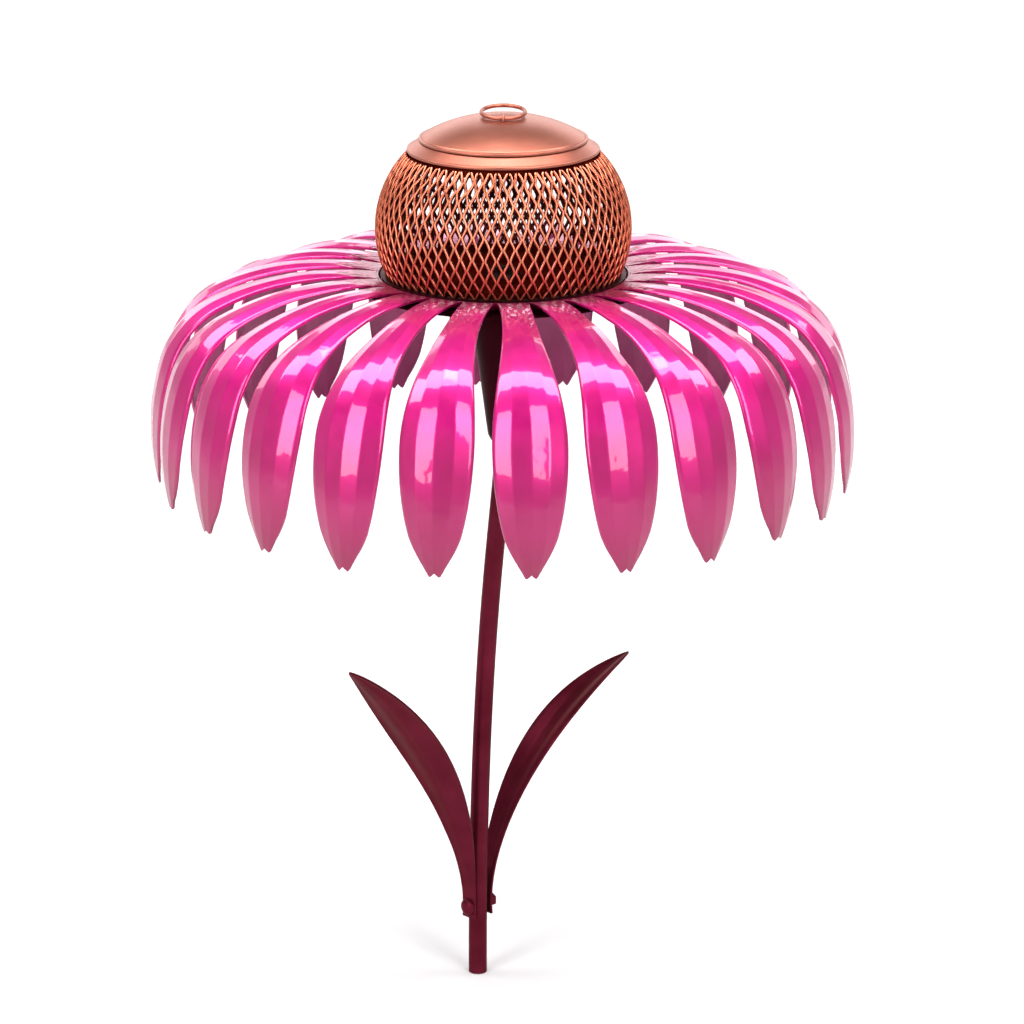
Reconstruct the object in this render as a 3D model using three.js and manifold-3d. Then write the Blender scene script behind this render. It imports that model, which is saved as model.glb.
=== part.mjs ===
// Coneflower bird feeder on a pole. Millimetres, +Z up.
// The origin is the centre of the pole's foot. The pole bends a little to +X on its way up,
// so the flower's axis stands HEAD_X to the side of the foot.

import * as THREE from 'three';
import { mergeVertices } from 'three/addons/utils/BufferGeometryUtils.js';
import Module from 'manifold-3d';

const wasm = await Module();
wasm.setup();

// Driving dimensions
const GAP = 0.3;                   // air between pieces that touch
const HEAD_X = 13.6;               // the flower's axis, to the side of the foot
const RING_TOP = 373;              // height of the petals' flat middle
const RING_STEP = 2.9;             // the rim of the middle, where the petals begin, stands this much higher
const PLATE = 1.2;                 // sheet the dark parts and the leaves are cut from
const SHEET = 1.0;                 // sheet the petals, basket and lid are pressed from

const POLE_R = 4.76;
const POLE_WALL = 1.2;
const POLE_TOP = 330;              // the pole ends inside the neck
const POLE_BEND = [190, 32];       // reach of the bend's two handles, from the foot and from the neck
const NECK_FOOT = 289.5;

const PETAL_COUNT = 24;
const PETAL_TURN = 4.4;            // degrees the first petal stands past -Y
const PETAL_START_R = 63;
const PETAL_RISE = 10;             // degrees the petal climbs where it leaves the ring
const PETAL_ARCS = [               // radius and sweep in degrees, from the ring to the tip
  { radius: 138.5, sweep: 34 },
  { radius: 50, sweep: 48 },
  { radius: 120, sweep: 31.2 },
];
const PETAL_ROOT_W = 15;
const PETAL_MAX_W = 35.5;
const PETAL_WIDEST = 0.67;         // part of its length at which the petal is widest
const PETAL_CLOSE = 1.02;          // part of its length at which its two edges would meet
const PLATE_R = 73;                // the dark plate under the petals

const BASKET_ARC = { r: 10, z: 399, radius: 53.8 };
const BASKET_BOTTOM = RING_TOP + 1.2;
const BASKET_TOP = 437.5;
const MOUTH_R = 40.2;
const COLLAR_R = 48;
const LID_R = 42.2;
const LID_SEAT = 443.4;
const LID_EDGE = 0.8;              // thickness of the lid's rim
const LID_RISE = 11.1;
const DOME_POWER = 2.3;            // 2 gives a parabola, more gives fuller shoulders

const PULL_R = 10.8;               // centreline of the ring pull
const PULL_WIRE_R = 1;
const PULL_LEAN = 6;               // degrees the ring lies above level
const EYE_WIRE_R = 0.8;

const BOLT_Z = 38;                 // the bolt that holds the leaves
const LEAF_TURN = 45;              // degrees the leaf bolt is turned from X
const LEAF_BOLT_R = 2;
const HEAD_BOLT_R = 4;

const DARK = { color: 0x4a1524, roughness: 0.45, metalness: 0.3 };
const PINK = { color: 0xc8106c, roughness: 0.25, metalness: 0.4 };
const COPPER = { color: 0xb8755f, roughness: 0.35, metalness: 0.9 };
const STEEL = { color: 0x8a8a8c, roughness: 0.4, metalness: 0.9 };

const feeder = new THREE.Group();
const flower = new THREE.Group();
flower.position.x = HEAD_X;
feeder.add(flower);

function add(name, geometry, look, parent = feeder) {
  const mesh = new THREE.Mesh(geometry, new THREE.MeshStandardMaterial(look));
  mesh.name = name;
  parent.add(mesh);
  return mesh;
}

// --- Shared ways of making a solid ---

function welded(geometry) {
  geometry.deleteAttribute('normal');
  geometry.deleteAttribute('uv');
  return mergeVertices(geometry, 1e-4);
}

function solid(geometry) {
  const g = welded(geometry);
  const vertProperties = Float32Array.from(g.attributes.position.array);
  const triVerts = Uint32Array.from(g.index.array);
  return new wasm.Manifold(new wasm.Mesh({ numProp: 3, vertProperties, triVerts }));
}

function cut(geometry, ...tools) {
  const left = tools.reduce((body, tool) => body.subtract(solid(tool)), solid(geometry));
  const mesh = left.getMesh();
  const g = new THREE.BufferGeometry();
  g.setAttribute('position', new THREE.BufferAttribute(mesh.vertProperties, 3));
  g.setIndex(new THREE.BufferAttribute(mesh.triVerts, 1));
  g.computeVertexNormals();
  return g;
}

// Turns an outline of [radius, height] points, counter-clockwise, about the Z axis.
function turned(outline, sides = 30) {
  const points = outline.map(([r, z]) => new THREE.Vector2(r, z));
  if (outline[0][0] > 0) points.push(points[0].clone());
  return welded(new THREE.LatheGeometry(points, sides).rotateX(Math.PI / 2));
}

function arcPoints({ r, z, radius }, from, to, steps) {
  return Array.from({ length: steps + 1 }, (_, i) => {
    const a = from + (to - from) * i / steps;
    return [r + radius * Math.cos(a), z + radius * Math.sin(a)];
  });
}

function disc(radius) {
  return new THREE.Shape().absarc(0, 0, radius, 0, 2 * Math.PI);
}

function rod(radius, length, sides = 16) {
  return new THREE.CylinderGeometry(radius, radius, length, sides);
}

// Bends a flat strip. place(across, along) gives the middle of the sheet and its outward normal,
// with across from -1 to 1 and along from 0 to 1.
function bentStrip(acrossSteps, alongSteps, thickness, place) {
  const strip = welded(new THREE.BoxGeometry(2, 1, 1, acrossSteps, alongSteps, 1));
  const p = strip.attributes.position;
  for (let i = 0; i < p.count; i++) {
    const { point, normal } = place(p.getX(i), p.getY(i) + 0.5);
    point.addScaledVector(normal, p.getZ(i) * thickness);
    p.setXYZ(i, point.x, point.y, point.z);
  }
  return strip;
}

// --- Pole and neck ---

function pole() {
  const bendTop = new THREE.Vector3(HEAD_X, 0, NECK_FOOT - 3);
  const path = new THREE.CurvePath();
  path.add(new THREE.CubicBezierCurve3(
    new THREE.Vector3(0, 0, 0),
    new THREE.Vector3(0, 0, POLE_BEND[0]),
    new THREE.Vector3(HEAD_X, 0, bendTop.z - POLE_BEND[1]),
    bendTop,
  ));
  path.add(new THREE.LineCurve3(bendTop, new THREE.Vector3(HEAD_X, 0, POLE_TOP)));
  const section = disc(POLE_R);
  section.holes.push(disc(POLE_R - POLE_WALL));
  const tube = new THREE.ExtrudeGeometry(section, { steps: 14, curveSegments: 10, extrudePath: path });
  return cut(tube, leafBoltHole());
}

// A funnel: a short chamfered collar round the pole, then a cone up to a flat top.
function neck() {
  const top = RING_TOP - 2 * PLATE - 2 * GAP;
  const bore = POLE_R + GAP;
  const chamfer = { width: 1.6, height: 3 };
  const collarHeight = 4.5;
  const coneR = 18;
  return turned([
    [bore, NECK_FOOT],
    [bore + PLATE, NECK_FOOT],
    [bore + PLATE + chamfer.width, NECK_FOOT + chamfer.height],
    [coneR, top],
    [HEAD_BOLT_R + GAP, top],
    [HEAD_BOLT_R + GAP, top - PLATE],
    [coneR - PLATE, top - PLATE],
    [bore + chamfer.width, NECK_FOOT + collarHeight],
    [bore, NECK_FOOT + collarHeight],
  ], 24);
}

function backingPlate() {
  const top = RING_TOP - SHEET - GAP;
  return turned([
    [HEAD_BOLT_R + GAP, top - PLATE],
    [PLATE_R, top - PLATE],
    [PLATE_R, top],
    [HEAD_BOLT_R + GAP, top],
  ], 36);
}

// The bolt on the flower's axis that clamps the basket, petals, plate and neck together.
function headBolt() {
  const seat = RING_TOP + SHEET + 2 * GAP;
  const shank = 24;
  const head = { radius: 9, shoulder: 7, side: 3, height: 4.4 };
  return turned([
    [0, seat - shank],
    [HEAD_BOLT_R, seat - shank],
    [HEAD_BOLT_R, seat],
    [head.radius, seat],
    [head.shoulder, seat + head.side],
    [0, seat + head.height],
  ], 16);
}

// A nut on the Z axis, from height z up.
function hexNut(acrossFlats, height, hole, z) {
  const nut = new THREE.Shape();
  for (let i = 0; i < 6; i++) {
    const a = i * Math.PI / 3;
    const r = acrossFlats / Math.sqrt(3);
    if (i) nut.lineTo(r * Math.cos(a), r * Math.sin(a));
    else nut.moveTo(r, 0);
  }
  nut.holes.push(disc(hole));
  const g = new THREE.ExtrudeGeometry(nut, { depth: height, bevelEnabled: false, curveSegments: 6 });
  return welded(g.translate(0, 0, z));
}

// --- Petals ---

// The flat middle the petals grow from, with a low step up at its rim.
function petalRing() {
  const rim = PETAL_START_R - GAP;
  const slant = 0.8;
  return turned([
    [HEAD_BOLT_R + GAP, RING_TOP - SHEET],
    [rim - slant, RING_TOP - SHEET],
    [rim, RING_TOP + RING_STEP - SHEET],
    [rim, RING_TOP + RING_STEP],
    [rim - SHEET, RING_TOP + RING_STEP],
    [rim - SHEET - slant, RING_TOP],
    [HEAD_BOLT_R + GAP, RING_TOP],
  ], 36);
}

const PETAL_LENGTH = PETAL_ARCS.reduce((sum, a) => sum + a.radius * THREE.MathUtils.degToRad(a.sweep), 0);

// The petal's centreline: the point and the slope at a distance along it.
function petalLine(distance) {
  let r = PETAL_START_R;
  let z = RING_TOP + RING_STEP - SHEET / 2;
  let slope = THREE.MathUtils.degToRad(PETAL_RISE);
  let left = distance;
  for (const { radius, sweep } of PETAL_ARCS) {
    const turn = Math.min(left / radius, THREE.MathUtils.degToRad(sweep));
    r += radius * (Math.sin(slope) - Math.sin(slope - turn));
    z += radius * (Math.cos(slope - turn) - Math.cos(slope));
    slope -= turn;
    left -= turn * radius;
  }
  return { r, z, slope };
}

function petalWidth(t) {
  if (t < PETAL_WIDEST) {
    const swell = (1 - Math.cos(Math.PI * (t / PETAL_WIDEST) ** 1.5)) / 2;
    return PETAL_ROOT_W + (PETAL_MAX_W - PETAL_ROOT_W) * swell;
  }
  const q = (t - PETAL_WIDEST) / (PETAL_CLOSE - PETAL_WIDEST);
  return PETAL_MAX_W * (1 - q * q) ** 0.62;
}

// Three creases part the petal into four flats. They fade out at the root.
function petal() {
  const drops = [0, 0.03, 0.14];   // how far each crease and the edge lie below the middle, per width
  const tipCut = [2.2, 0, 1.6];    // how far the tip is cut back at the middle, crease and edge
  return bentStrip(4, 10, SHEET, (across, along) => {
    const t = 1 - (1 - along) ** 1.25;
    const crease = Math.round(2 * Math.abs(across));
    const cutBack = along > 0.99 ? tipCut[crease] : 0;
    const { r, z, slope } = petalLine(t * PETAL_LENGTH - cutBack);
    const width = petalWidth(t);
    const drop = drops[crease] * width * Math.min(1, t / 0.2);
    const normal = new THREE.Vector3(-Math.sin(slope), 0, Math.cos(slope));
    const point = new THREE.Vector3(r, -across * width / 2, z).addScaledVector(normal, -drop);
    return { point, normal };
  });
}

// --- Basket, collar and lid ---

function basket() {
  const inner = { ...BASKET_ARC, radius: BASKET_ARC.radius - SHEET };
  const [from, to] = [BASKET_BOTTOM, BASKET_TOP].map((z) => Math.asin((z - BASKET_ARC.z) / BASKET_ARC.radius));
  return turned([...arcPoints(BASKET_ARC, from, to, 7), ...arcPoints(inner, to, from, 7)], 36);
}

function basketFloor() {
  const bottom = RING_TOP + GAP;
  const rim = 53;
  const flange = 5;
  return turned([
    [HEAD_BOLT_R + GAP, bottom],
    [rim, bottom],
    [rim, bottom + flange],
    [rim - SHEET, bottom + flange],
    [rim - SHEET, bottom + SHEET],
    [HEAD_BOLT_R + GAP, bottom + SHEET],
  ]);
}

// A cone that closes the basket's top, with a short upright rim at its foot.
function collar() {
  const bottom = BASKET_TOP + GAP;
  const top = LID_SEAT - GAP;
  const thick = 1.6;
  const rim = 1.4;
  return turned([
    [COLLAR_R - thick, bottom],
    [COLLAR_R, bottom],
    [COLLAR_R, bottom + rim],
    [MOUTH_R + thick, top],
    [MOUTH_R, top],
    [MOUTH_R, top - rim],
  ]);
}

function domeHeight(r) {
  return LID_RISE * (1 - (r / LID_R) ** DOME_POWER);
}

function lid() {
  const skirtR = MOUTH_R - 2 * GAP;
  const skirt = 5;
  const steps = 5;
  const outer = [];
  const inner = [];
  for (let i = 0; i <= steps; i++) {
    const r = LID_R * (1 - i / steps);
    outer.push([r, LID_SEAT + LID_EDGE + domeHeight(r)]);
    const s = (skirtR - SHEET) * i / steps;
    inner.push([s, LID_SEAT + LID_EDGE - SHEET + domeHeight(s)]);
  }
  return turned([
    ...inner,
    [skirtR - SHEET, LID_SEAT - skirt],
    [skirtR, LID_SEAT - skirt],
    [skirtR, LID_SEAT],
    [LID_R, LID_SEAT],
    ...outer,
  ]);
}

const LID_APEX = LID_SEAT + LID_EDGE + LID_RISE;
const HINGE = new THREE.Vector3(0, -PULL_R, LID_APEX + PULL_WIRE_R - 0.4);

function eye() {
  const bend = PULL_WIRE_R + GAP + EYE_WIRE_R;
  const foot = LID_SEAT + LID_EDGE + domeHeight(PULL_R - bend) + GAP;
  const path = new THREE.CurvePath();
  const half = new THREE.EllipseCurve(0, 0, bend, bend, Math.PI, 0, true).getPoints(6);
  const arch = half.map((p) => new THREE.Vector3(0, HINGE.y + p.x, HINGE.z + p.y));
  const route = [new THREE.Vector3(0, arch[0].y, foot), ...arch, new THREE.Vector3(0, arch.at(-1).y, foot)];
  for (let i = 1; i < route.length; i++) path.add(new THREE.LineCurve3(route[i - 1], route[i]));
  return new THREE.ExtrudeGeometry(disc(EYE_WIRE_R), { steps: 14, curveSegments: 4, extrudePath: path });
}

function ringPull() {
  return new THREE.TorusGeometry(PULL_R, PULL_WIRE_R, 8, 28);
}

// --- Leaves ---

// Each leaf's centreline, as distance from the pole's axis and height.
const LEAVES = {
  left: { side: -1, bend: [[0, 75], [70, 141], [83, 148.8]], width: 26, roll: 20 },
  right: { side: 1, bend: [[0, 35], [28.5, 96], [106.8, 111]], width: 19.5, roll: 0 },
};
const LEAF_TAB_W = 8.5;
const LEAF_TIP_W = 0.6;
const TAB_FACE = POLE_R + 2 * GAP + PLATE;   // outer face of each leaf's tab, from the pole's axis
const LEAF_FOLD = 0.06;            // height of the middle crease, per width
const TAB_PART = 0.08;             // part of the leaf's length that stays flat against the pole

function leafLine({ bend }) {
  const start = new THREE.Vector2(TAB_FACE - PLATE / 2, BOLT_Z);
  const [a, b, c] = bend.map(([r, z]) => new THREE.Vector2(start.x + r, start.y + z));
  const line = new THREE.CurvePath();
  line.add(new THREE.LineCurve(new THREE.Vector2(start.x, BOLT_Z - 6), start));
  line.add(new THREE.CubicBezierCurve(start, a, b, c));
  return line;
}

function leafWidth(t, widest) {
  const blade = Math.max(Math.sin(Math.PI * t ** 1.5), 0) ** 0.85;
  const tab = LEAF_TAB_W * (1 - t) ** 5;
  return widest * blade + tab + LEAF_TIP_W;
}

function leaf(form) {
  const line = leafLine(form);
  const blade = bentStrip(2, 14, PLATE, (across, along) => {
    const middle = line.getPointAt(along);
    const tangent = line.getTangentAt(along);
    const width = leafWidth(along, form.width);
    const shaped = Math.min(1, Math.max(0, along - TAB_PART) / 0.2);
    const normal = new THREE.Vector3(tangent.y, 0, -tangent.x);
    const roll = THREE.MathUtils.degToRad(form.roll * shaped);
    const axis = new THREE.Vector3(tangent.x, 0, tangent.y);
    const side = new THREE.Vector3(0, 1, 0).applyAxisAngle(axis, roll);
    normal.applyAxisAngle(axis, roll);
    const point = new THREE.Vector3(middle.x, 0, middle.y);
    point.addScaledVector(side, across * width / 2);
    if (Math.abs(across) < 0.5) point.addScaledVector(normal, LEAF_FOLD * width * shaped);
    return { point, normal };
  });
  blade.rotateZ(leafAngle(form.side));
  return cut(blade, leafBoltHole());
}

function leafAngle(side) {
  return THREE.MathUtils.degToRad(LEAF_TURN) + (side < 0 ? Math.PI : 0);
}

function onBoltAxis(geometry) {
  return geometry.rotateZ(THREE.MathUtils.degToRad(LEAF_TURN)).translate(0, 0, BOLT_Z);
}

function leafBoltHole() {
  return onBoltAxis(rod(LEAF_BOLT_R + GAP, 40).rotateZ(Math.PI / 2));
}

function leafBolt() {
  const seat = TAB_FACE + GAP;
  const tail = -seat - 5;
  const head = { radius: 4.4, height: 2.7 };
  const dome = [0, 1, 2].map((i) => {
    const a = i * Math.PI / 6;
    return [head.radius * Math.cos(a), seat + head.height * Math.sin(a)];
  });
  const shank = [[0, tail], [LEAF_BOLT_R, tail], [LEAF_BOLT_R, seat]];
  return onBoltAxis(turned([...shank, ...dome, [0, seat + head.height]], 20).rotateY(-Math.PI / 2));
}

function leafNut() {
  const acrossFlats = 7;
  const height = 3.2;
  const nut = hexNut(acrossFlats, height, LEAF_BOLT_R + GAP, TAB_FACE + GAP);
  return onBoltAxis(nut.rotateY(Math.PI / 2));
}

function headNut() {
  const acrossFlats = 13;
  const height = 6.5;
  const neckInside = RING_TOP - 3 * PLATE - 2 * GAP;
  return hexNut(acrossFlats, height, HEAD_BOLT_R + GAP, neckInside - GAP - height);
}

// --- The feeder ---

add('pole', pole(), DARK);
add('leaf_left', leaf(LEAVES.left), DARK);
add('leaf_right', leaf(LEAVES.right), DARK);
add('leaf_bolt', leafBolt(), DARK);
add('leaf_nut', leafNut(), DARK);

add('neck', neck(), DARK, flower);
add('backing_plate', backingPlate(), DARK, flower);
add('head_bolt', headBolt(), STEEL, flower);
add('head_nut', headNut(), STEEL, flower);

add('petal_ring', petalRing(), PINK, flower);
for (let i = 0; i < PETAL_COUNT; i++) {
  const blade = add(`petal_${String(i + 1).padStart(2, '0')}`, petal(), PINK, flower);
  blade.rotation.z = THREE.MathUtils.degToRad(PETAL_TURN - 90 + i * 360 / PETAL_COUNT);
}

add('basket_floor', basketFloor(), COPPER, flower);
add('basket', basket(), COPPER, flower);
add('collar', collar(), COPPER, flower);
add('lid', lid(), COPPER, flower);
add('lid_eye', eye(), COPPER, flower);

const pull = add('ring_pull', ringPull(), COPPER, flower);
const lean = THREE.MathUtils.degToRad(PULL_LEAN);
pull.rotation.x = lean;
pull.position.set(0, HINGE.y + PULL_R * Math.cos(lean), HINGE.z + PULL_R * Math.sin(lean));

export default feeder;
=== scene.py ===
"""Looks for the coneflower bird feeder on its pole. Metres, +Z up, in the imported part's own frame."""

import math
import random

import bpy
from mathutils import Matrix, Vector, noise


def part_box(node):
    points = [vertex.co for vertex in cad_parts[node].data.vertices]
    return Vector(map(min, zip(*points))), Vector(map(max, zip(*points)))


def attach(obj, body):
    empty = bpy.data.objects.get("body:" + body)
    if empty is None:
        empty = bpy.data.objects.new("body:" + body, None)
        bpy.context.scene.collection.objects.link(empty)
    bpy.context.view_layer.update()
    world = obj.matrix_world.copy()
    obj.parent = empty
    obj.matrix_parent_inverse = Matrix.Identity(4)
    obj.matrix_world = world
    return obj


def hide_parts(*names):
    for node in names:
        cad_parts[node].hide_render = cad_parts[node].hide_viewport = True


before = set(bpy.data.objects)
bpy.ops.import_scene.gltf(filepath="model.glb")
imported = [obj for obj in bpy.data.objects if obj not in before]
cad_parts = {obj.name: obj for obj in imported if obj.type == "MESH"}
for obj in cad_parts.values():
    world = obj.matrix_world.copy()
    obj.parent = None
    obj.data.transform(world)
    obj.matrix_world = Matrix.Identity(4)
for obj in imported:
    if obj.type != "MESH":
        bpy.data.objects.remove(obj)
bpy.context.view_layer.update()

MM = 0.001
UP = Vector((0, 0, 1))
chance = random.Random(24)

# Places read from the frame
LID_LOW, LID_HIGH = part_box("lid")
HEAD_X = (LID_LOW.x + LID_HIGH.x) / 2
HEAD = Vector((HEAD_X, 0, 0))
RING_LOW, RING_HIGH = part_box("petal_ring")
RING_R = (RING_HIGH.x - RING_LOW.x) / 2
POLE_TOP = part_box("pole")[1].z
POLE_R = -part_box("pole")[0].x
PLATE_LOW, PLATE_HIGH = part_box("backing_plate")
PETAL_NODES = sorted(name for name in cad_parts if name.startswith("petal_") and name != "petal_ring")

RING_STEP = 2.9 * MM                # the petals begin this much above the flat middle
RING_TOP = RING_HIGH.z - RING_STEP
GAP = 0.3 * MM                      # air between pieces that touch
SHEET = 1.0 * MM                    # sheet the petals, basket and lid are pressed from
PLATE = 1.2 * MM                    # sheet of the dark parts
BOLT_HOLE = 4.3 * MM                # radius of the hole for the bolt on the flower's axis


# --- Meshes ---

def new_piece(name, points, faces, looks, sharp=None):
    """A smooth-shaded mesh object. Edges sharper than the angle sharp, in degrees, stay crisp."""
    mesh = bpy.data.meshes.new(name)
    mesh.from_pydata([tuple(p) for p in points], [], faces)
    for look in looks:
        mesh.materials.append(look)
    mesh.shade_smooth()
    if sharp:
        mesh.set_sharp_from_angle(angle=math.radians(sharp))
    piece = bpy.data.objects.new(name, mesh)
    bpy.context.scene.collection.objects.link(piece)
    return piece


def add_attribute(piece, name, values):
    """Gives each vertex a value that a material can read."""
    piece.data.attributes.new(name, "FLOAT", "POINT").data.foreach_set("value", values)


def hand_over(piece, body, slot, *nodes):
    """The piece moves with a body and stands for CAD nodes, which are hidden. slot is not used."""
    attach(piece, body)
    if nodes:
        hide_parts(*nodes)


def soften(piece, width, segments=2, limit=35):
    """Rounds every edge sharper than limit degrees."""
    bevel = piece.modifiers.new("rounded_edges", "BEVEL")
    bevel.width = width
    bevel.segments = segments
    bevel.limit_method = "ANGLE"
    bevel.angle_limit = math.radians(limit)
    bevel.harden_normals = False
    return piece


def filleted(outline, steps=5):
    """Rounds the corners of a closed outline. Each corner is (radius, height, fillet)."""
    rounded = []
    count = len(outline)
    for i, (r, z, fillet) in enumerate(outline):
        corner = Vector((r, z))
        if not fillet:
            rounded.append(corner)
            continue
        before = Vector(outline[i - 1][:2]) - corner
        after = Vector(outline[(i + 1) % count][:2]) - corner
        reach = min(fillet, before.length / 2, after.length / 2)
        start = corner + before.normalized() * reach
        end = corner + after.normalized() * reach
        for step in range(steps + 1):
            t = step / steps
            rounded.append(start * (1 - t) ** 2 + corner * 2 * t * (1 - t) + end * t ** 2)
    return [(p.x, p.y) for p in rounded]


def turned(name, outline, look, centre=HEAD, segments=240, sharp=40):
    """Turns a closed outline of (radius, height), counter-clockwise, about the upright axis at centre."""
    points, rings = [], []
    for r, z in outline:
        if r < 1e-7:
            rings.append([len(points)] * segments)
            points.append(centre + UP * z)
            continue
        rings.append(range(len(points), len(points) + segments))
        for i in range(segments):
            a = 2 * math.pi * i / segments
            points.append(centre + Vector((r * math.cos(a), r * math.sin(a), z)))
    faces = []
    for lower, upper in zip(rings, rings[1:] + rings[:1]):
        for i in range(segments):
            j = (i + 1) % segments
            corners = list(dict.fromkeys((lower[i], lower[j], upper[j], upper[i])))
            if len(corners) > 2:
                faces.append(corners)
    return new_piece(name, points, faces, [look], sharp)


def tube_faces(rings, sides, first=0, closed=False):
    """Faces of a tube whose rings of points follow each other. An open tube gets flat ends."""
    faces = []
    for k in range(rings if closed else rings - 1):
        a, b = first + k * sides, first + (k + 1) % rings * sides
        for i in range(sides):
            j = (i + 1) % sides
            faces.append((a + i, a + j, b + j, b + i))
    if not closed:
        faces.append(tuple(range(first + sides - 1, first - 1, -1)))
        faces.append(tuple(range(first + (rings - 1) * sides, first + rings * sides)))
    return faces


def wire(name, path, radius, look, sides=20, closed=False):
    """Round wire along points that lie in one plane or nearly so."""
    points = []
    count = len(path)
    reference = (path[1] - path[0]).cross(path[count // 2] - path[0]).normalized()
    for k, middle in enumerate(path):
        ahead = path[(k + 1) % count] if closed or k < count - 1 else middle
        behind = path[k - 1] if closed or k else middle
        tangent = (ahead - behind).normalized()
        across = reference.cross(tangent).normalized()
        for i in range(sides):
            a = 2 * math.pi * i / sides
            points.append(middle + radius * (across * math.cos(a) + reference * math.sin(a)))
    faces = tube_faces(count, sides, closed=closed)
    return new_piece(name, points, faces, [look], 60)


def bent_sheet(name, place, columns, stations, thickness, looks):
    """A sheet with a front and a back. place(across, station) gives its middle and its normal,
    with across from -1 to 1. The second look, if there is one, covers the back."""
    front, back = [], []
    for station in stations:
        for i in range(columns + 1):
            middle, normal = place(2 * i / columns - 1, station)
            front.append(middle + normal * thickness / 2)
            back.append(middle - normal * thickness / 2)
    wide = columns + 1
    total = len(front)
    faces = []
    for k in range(len(stations) - 1):
        for i in range(columns):
            a = k * wide + i
            faces.append((a, a + 1, a + 1 + wide, a + wide))
    front_count = len(faces)
    faces += [tuple(total + v for v in reversed(face)) for face in faces]
    border = [*range(wide), *range(2 * wide - 1, total, wide)]
    border += [*range(total - 2, total - wide - 1, -1), *range(total - 2 * wide, 0, -wide)]
    for a, b in zip(border, border[1:] + border[:1]):
        faces.append((b, a, total + a, total + b))
    piece = new_piece(name, front + back, faces, looks, 60)
    if len(looks) > 1:
        for polygon in piece.data.polygons[front_count:2 * front_count]:
            polygon.material_index = 1
    return piece


# --- Materials ---

class Look:
    """A node material round one Principled shader, with textures in object coordinates."""

    def __init__(self, name, **sockets):
        self.material = bpy.data.materials.new(name)
        self.material.use_nodes = True
        self.tree = self.material.node_tree
        self.shader = self.tree.nodes["Principled BSDF"]
        self.where = self.tree.nodes.new("ShaderNodeTexCoord").outputs["Object"]
        for socket, value in sockets.items():
            value = (*value, 1) if isinstance(value, tuple) else value
            self.shader.inputs[socket.replace("_", " ")].default_value = value

    def link(self, source, socket):
        self.tree.links.new(source, self.shader.inputs[socket])

    def grain(self, size, detail=3, stretch=(1, 1, 1)):
        """Noise whose features are about size metres across."""
        mapping = self.tree.nodes.new("ShaderNodeMapping")
        mapping.inputs["Scale"].default_value = stretch
        texture = self.tree.nodes.new("ShaderNodeTexNoise")
        texture.inputs["Scale"].default_value = 1 / size
        texture.inputs["Detail"].default_value = detail
        self.tree.links.new(self.where, mapping.inputs["Vector"])
        self.tree.links.new(mapping.outputs["Vector"], texture.inputs["Vector"])
        return texture.outputs["Fac"]

    def spangles(self, size):
        """A random value in each cell of a pattern whose cells are about size metres across."""
        texture = self.tree.nodes.new("ShaderNodeTexVoronoi")
        texture.inputs["Scale"].default_value = 1 / size
        self.tree.links.new(self.where, texture.inputs["Vector"])
        return texture.outputs["Color"]

    def attribute(self, name):
        """The values that add_attribute gave the vertices."""
        node = self.tree.nodes.new("ShaderNodeAttribute")
        node.attribute_name = name
        return node.outputs["Fac"]

    def ramp(self, factor, *stops):
        """Colours or grey values blended by factor. Each stop is (place, value)."""
        node = self.tree.nodes.new("ShaderNodeValToRGB")
        elements = node.color_ramp.elements
        while len(elements) < len(stops):
            elements.new(0.5)
        for element, (place, value) in zip(elements, stops):
            element.position = place
            element.color = (*value, 1) if isinstance(value, tuple) else (value, value, value, 1)
        self.tree.links.new(factor, node.inputs["Fac"])
        return node.outputs["Color"]

    def mixed(self, factor, a, b, blend="MIX"):
        """Two colours mixed. Each is a socket or a fixed colour."""
        node = self.tree.nodes.new("ShaderNodeMix")
        node.data_type = "RGBA"
        node.blend_type = blend
        for socket, value in ((node.inputs[0], factor), (node.inputs[6], a), (node.inputs[7], b)):
            if isinstance(value, bpy.types.NodeSocket):
                self.tree.links.new(value, socket)
            else:
                socket.default_value = (*value, 1) if isinstance(value, tuple) else value
        return node.outputs[2]

    def math(self, operation, a, b):
        """One arithmetic step on two values. Each is a socket or a number."""
        node = self.tree.nodes.new("ShaderNodeMath")
        node.operation = operation
        for socket, value in zip(node.inputs, (a, b)):
            if isinstance(value, bpy.types.NodeSocket):
                self.tree.links.new(value, socket)
            else:
                socket.default_value = value
        return node.outputs[0]

    def bumps(self, height, depth, under=None):
        """A bump of that depth in metres. under is a normal socket it builds on."""
        node = self.tree.nodes.new("ShaderNodeBump")
        node.inputs["Distance"].default_value = depth
        self.tree.links.new(height, node.inputs["Height"])
        if under:
            self.tree.links.new(under, node.inputs["Normal"])
        return node.outputs["Normal"]


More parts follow.
